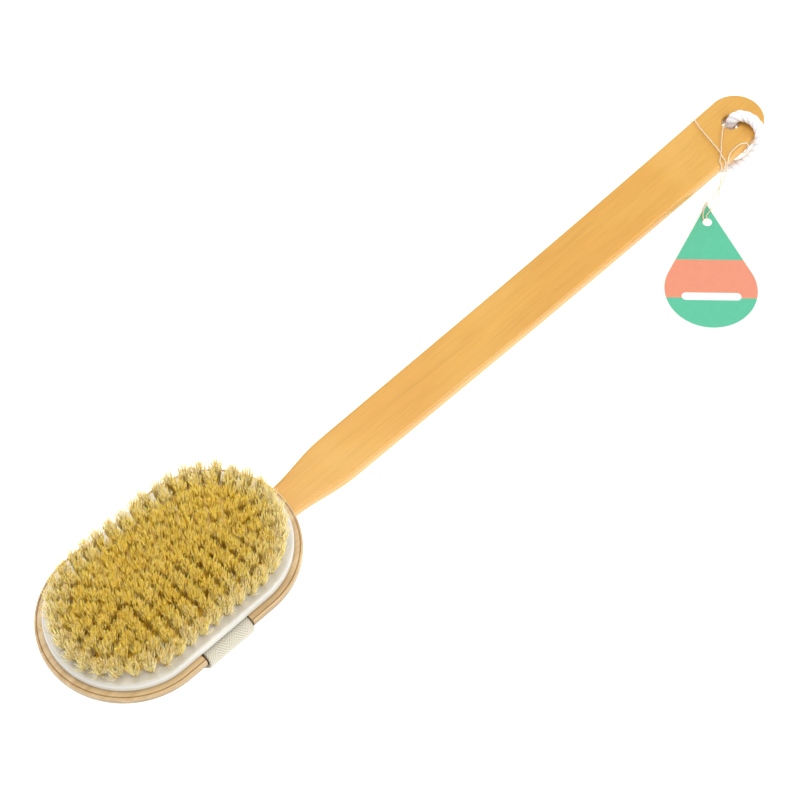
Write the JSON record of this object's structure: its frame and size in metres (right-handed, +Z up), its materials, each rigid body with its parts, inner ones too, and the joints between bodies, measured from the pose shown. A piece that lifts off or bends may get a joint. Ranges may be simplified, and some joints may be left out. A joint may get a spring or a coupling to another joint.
{
  "type": "body dry brush",
  "caption": "Long-handled body dry brush: oval wooden head with natural bristles in a white plate, webbing hand strap, pull-off flat wooden handle with a cord loop and a blank swing tag.",
  "frame": {"origin": "on the surface that the brush lies on, under the middle of its length and width", "axes": "+X along the brush from the head to the hanging hole, +Y across it, +Z up, out of the bristle side"},
  "size_m": [0.418, 0.1079, 0.042],
  "materials": {
    "tan_wood": "sealed, satin",
    "honey_wood": "clear honey varnish, semi-gloss",
    "white_plastic": "moulded, glossy",
    "bristle": "natural plant bristle, dry",
    "cotton_webbing": "woven cotton webbing, matte",
    "steel": "plain",
    "cotton_rope": "twisted white cotton",
    "clear_nylon": "clear monofilament",
    "printed_card": "printed card, satin, plain colour bands"
  },
  "bodies": {
    "head": {"head_base": "tan_wood", "bristle_plate": "white_plastic", "plate_nail_1": "steel", "plate_nail_2": "steel", "plate_nail_3": "steel", "plate_nail_4": "steel", "tuft_ring_1": "bristle", "tuft_ring_2": "bristle", "tuft_ring_3": "bristle", "tuft_ring_4": "bristle", "tuft_ring_5": "bristle", "tuft_ring_6": "bristle", "hand_strap": "cotton_webbing", "strap_tack_1": "steel", "strap_tack_2": "steel", "strap_tack_3": "steel", "strap_tack_4": "steel"},
    "handle": {"handle": "honey_wood", "hanging_cord": "cotton_rope", "hanging_cord_knot": "cotton_rope", "tag_thread": "clear_nylon", "swing_tag": "printed_card"}
  },
  "joints": [
    {"name": "handle_pull", "type": "slide", "parent": "head", "child": "handle", "axis": [1, 0, 0], "range_m": [0, 0.06]}
  ]
}
